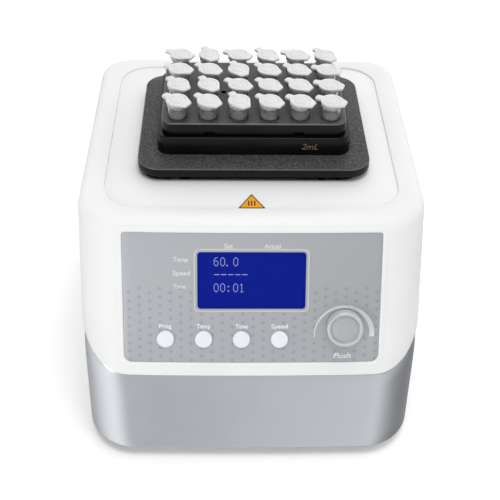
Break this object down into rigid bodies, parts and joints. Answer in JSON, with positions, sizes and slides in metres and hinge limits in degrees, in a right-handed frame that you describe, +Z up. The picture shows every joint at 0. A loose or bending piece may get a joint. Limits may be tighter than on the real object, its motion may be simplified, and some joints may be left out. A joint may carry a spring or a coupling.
{
  "type": "dry block heater",
  "caption": "Bench-top dry block heater and mixer with a lifted tube block, capped tubes, sloping control panel with display, push keys and knob.",
  "frame": {"origin": "on the bench, under the centre of the bounding box", "axes": "+X right, +Y towards the back, +Z up; the control panel faces -Y"},
  "size_m": [0.1946, 0.2274, 0.1828],
  "materials": {
    "white_plastic": "satin white moulding",
    "silver_paint": "satin silver paint",
    "panel_foil": "silver-grey printed foil",
    "black_deck": "fine sparkling black powder coat",
    "black_anodised": "black anodised, bright edges",
    "clear_lens": "clear window",
    "display_blue": "lit blue dot-matrix display",
    "board_green": "circuit board",
    "button_white": "satin bluish white",
    "knob_silver": "satin silver-grey",
    "steel": "machined",
    "dark_plastic": "black moulding",
    "rubber": "moulded",
    "heater_foil": "amber heating foil",
    "foam": "pale insulating felt",
    "frosted_tube": "frosted translucent polypropylene",
    "copper_wound": "motor can"
  },
  "bodies": {
    "body": {"upper_housing": "white_plastic", "lower_housing": "silver_paint", "base_plate": "steel", "foot_front_left": "rubber", "foot_front_right": "rubber", "foot_rear_left": "rubber", "foot_rear_right": "rubber", "control_panel": "panel_foil", "display_lens": "clear_lens", "display_module": "display_blue", "control_board": "board_green", "encoder": "steel", "motor": "copper_wound", "chassis": "steel", "fan_frame": "dark_plastic", "power_inlet": "dark_plastic", "power_supply": "board_green"},
    "platform": {"shaker_deck": "black_deck", "block_base": "black_anodised", "heater_plate": "heater_foil", "insulation_pad": "foam", "temperature_probe": "steel", "carrier_plate": "steel", "crank_bearing": "steel"},
    "tube_block": {"tube_block": "black_anodised"},
    "drive_crank": {"drive_crank": "steel"},
    "idler_left": {"idler_left": "steel"},
    "idler_right": {"idler_right": "steel"},
    "fan_rotor": {"fan_rotor": "dark_plastic"},
    "rocker_switch": {"rocker_switch": "dark_plastic"},
    "encoder_shaft": {"encoder_shaft": "steel"},
    "knob": {"knob": "knob_silver"},
    "button_prog": {"button_prog": "button_white"},
    "button_temp": {"button_temp": "button_white"},
    "button_time": {"button_time": "button_white"},
    "button_speed": {"button_speed": "button_white"},
    "tube_11": {"tube_11": "frosted_tube"},
    "tube_12": {"tube_12": "frosted_tube"},
    "tube_13": {"tube_13": "frosted_tube"},
    "tube_14": {"tube_14": "frosted_tube"},
    "tube_15": {"tube_15": "frosted_tube"},
    "tube_16": {"tube_16": "frosted_tube"},
    "tube_21": {"tube_21": "frosted_tube"},
    "tube_22": {"tube_22": "frosted_tube"},
    "tube_23": {"tube_23": "frosted_tube"},
    "tube_24": {"tube_24": "frosted_tube"},
    "tube_25": {"tube_25": "frosted_tube"},
    "tube_26": {"tube_26": "frosted_tube"},
    "tube_31": {"tube_31": "frosted_tube"},
    "tube_32": {"tube_32": "frosted_tube"},
    "tube_33": {"tube_33": "frosted_tube"},
    "tube_34": {"tube_34": "frosted_tube"},
    "tube_35": {"tube_35": "frosted_tube"},
    "tube_36": {"tube_36": "frosted_tube"},
    "tube_41": {"tube_41": "frosted_tube"},
    "tube_42": {"tube_42": "frosted_tube"},
    "tube_43": {"tube_43": "frosted_tube"},
    "tube_44": {"tube_44": "frosted_tube"},
    "tube_45": {"tube_45": "frosted_tube"},
    "tube_46": {"tube_46": "frosted_tube"}
  },
  "joints": [
    {"name": "crank_spin", "type": "hinge", "parent": "body", "child": "drive_crank", "pos_m": [0, 0.02, 0.1], "axis": [0, 0, 1], "continuous": true},
    {"name": "platform_orbit", "type": "hinge", "parent": "drive_crank", "child": "platform", "pos_m": [0.0015, 0.02, 0.12], "axis": [0, 0, 1], "continuous": true},
    {"name": "idler_left_spin", "type": "hinge", "parent": "body", "child": "idler_left", "pos_m": [-0.05, 0.02, 0.1], "axis": [0, 0, 1], "continuous": true},
    {"name": "idler_right_spin", "type": "hinge", "parent": "body", "child": "idler_right", "pos_m": [0.05, 0.02, 0.1], "axis": [0, 0, 1], "continuous": true},
    {"name": "block_lift", "type": "slide", "parent": "platform", "child": "tube_block", "axis": [0, 0, 1], "range_m": [0, 0.06]},
    {"name": "tube_11_lift", "type": "slide", "parent": "tube_block", "child": "tube_11", "axis": [0, 0, 1], "range_m": [0, 0.05]},
    {"name": "tube_12_lift", "type": "slide", "parent": "tube_block", "child": "tube_12", "axis": [0, 0, 1], "range_m": [0, 0.05]},
    {"name": "tube_13_lift", "type": "slide", "parent": "tube_block", "child": "tube_13", "axis": [0, 0, 1], "range_m": [0, 0.05]},
    {"name": "tube_14_lift", "type": "slide", "parent": "tube_block", "child": "tube_14", "axis": [0, 0, 1], "range_m": [0, 0.05]},
    {"name": "tube_15_lift", "type": "slide", "parent": "tube_block", "child": "tube_15", "axis": [0, 0, 1], "range_m": [0, 0.05]},
    {"name": "tube_16_lift", "type": "slide", "parent": "tube_block", "child": "tube_16", "axis": [0, 0, 1], "range_m": [0, 0.05]},
    {"name": "tube_21_lift", "type": "slide", "parent": "tube_block", "child": "tube_21", "axis": [0, 0, 1], "range_m": [0, 0.05]},
    {"name": "tube_22_lift", "type": "slide", "parent": "tube_block", "child": "tube_22", "axis": [0, 0, 1], "range_m": [0, 0.05]},
    {"name": "tube_23_lift", "type": "slide", "parent": "tube_block", "child": "tube_23", "axis": [0, 0, 1], "range_m": [0, 0.05]},
    {"name": "tube_24_lift", "type": "slide", "parent": "tube_block", "child": "tube_24", "axis": [0, 0, 1], "range_m": [0, 0.05]},
    {"name": "tube_25_lift", "type": "slide", "parent": "tube_block", "child": "tube_25", "axis": [0, 0, 1], "range_m": [0, 0.05]},
    {"name": "tube_26_lift", "type": "slide", "parent": "tube_block", "child": "tube_26", "axis": [0, 0, 1], "range_m": [0, 0.05]},
    {"name": "tube_31_lift", "type": "slide", "parent": "tube_block", "child": "tube_31", "axis": [0, 0, 1], "range_m": [0, 0.05]},
    {"name": "tube_32_lift", "type": "slide", "parent": "tube_block", "child": "tube_32", "axis": [0, 0, 1], "range_m": [0, 0.05]},
    {"name": "tube_33_lift", "type": "slide", "parent": "tube_block", "child": "tube_33", "axis": [0, 0, 1], "range_m": [0, 0.05]},
    {"name": "tube_34_lift", "type": "slide", "parent": "tube_block", "child": "tube_34", "axis": [0, 0, 1], "range_m": [0, 0.05]},
    {"name": "tube_35_lift", "type": "slide", "parent": "tube_block", "child": "tube_35", "axis": [0, 0, 1], "range_m": [0, 0.05]},
    {"name": "tube_36_lift", "type": "slide", "parent": "tube_block", "child": "tube_36", "axis": [0, 0, 1], "range_m": [0, 0.05]},
    {"name": "tube_41_lift", "type": "slide", "parent": "tube_block", "child": "tube_41", "axis": [0, 0, 1], "range_m": [0, 0.05]},
    {"name": "tube_42_lift", "type": "slide", "parent": "tube_block", "child": "tube_42", "axis": [0, 0, 1], "range_m": [0, 0.05]},
    {"name": "tube_43_lift", "type": "slide", "parent": "tube_block", "child": "tube_43", "axis": [0, 0, 1], "range_m": [0, 0.05]},
    {"name": "tube_44_lift", "type": "slide", "parent": "tube_block", "child": "tube_44", "axis": [0, 0, 1], "range_m": [0, 0.05]},
    {"name": "tube_45_lift", "type": "slide", "parent": "tube_block", "child": "tube_45", "axis": [0, 0, 1], "range_m": [0, 0.05]},
    {"name": "tube_46_lift", "type": "slide", "parent": "tube_block", "child": "tube_46", "axis": [0, 0, 1], "range_m": [0, 0.05]},
    {"name": "button_prog_press", "type": "slide", "parent": "body", "child": "button_prog", "axis": [0, 0.8942, -0.4478], "range_m": [0, 0.0005], "stiffness_N_per_m": 400, "springref_m": -0.0005},
    {"name": "button_temp_press", "type": "slide", "parent": "body", "child": "button_temp", "axis": [0, 0.8942, -0.4478], "range_m": [0, 0.0005], "stiffness_N_per_m": 400, "springref_m": -0.0005},
    {"name": "button_time_press", "type": "slide", "parent": "body", "child": "button_time", "axis": [0, 0.8942, -0.4478], "range_m": [0, 0.0005], "stiffness_N_per_m": 400, "springref_m": -0.0005},
    {"name": "button_speed_press", "type": "slide", "parent": "body", "child": "button_speed", "axis": [0, 0.8942, -0.4478], "range_m": [0, 0.0005], "stiffness_N_per_m": 400, "springref_m": -0.0005},
    {"name": "knob_push", "type": "slide", "parent": "body", "child": "encoder_shaft", "axis": [0, 0.8942, -0.4478], "range_m": [0, 0.0008], "stiffness_N_per_m": 900, "springref_m": -0.0012},
    {"name": "knob_turn", "type": "hinge", "parent": "encoder_shaft", "child": "knob", "pos_m": [0.0513, -0.09482, 0.09134], "axis": [0, -0.8942, 0.4478], "continuous": true},
    {"name": "fan_spin", "type": "hinge", "parent": "body", "child": "fan_rotor", "pos_m": [-0.046, 0.11135, 0.046], "axis": [0, 1, 0], "continuous": true},
    {"name": "power_rock", "type": "hinge", "parent": "body", "child": "rocker_switch", "pos_m": [0.035, 0.10742, 0.042], "axis": [1, 0, 0], "range_deg": [0, 16]}
  ],
  "couplings": [
    {"joint": "platform_orbit", "follows": "crank_spin", "ratio": -1},
    {"joint": "idler_left_spin", "follows": "crank_spin", "ratio": 1},
    {"joint": "idler_right_spin", "follows": "crank_spin", "ratio": 1}
  ]
}
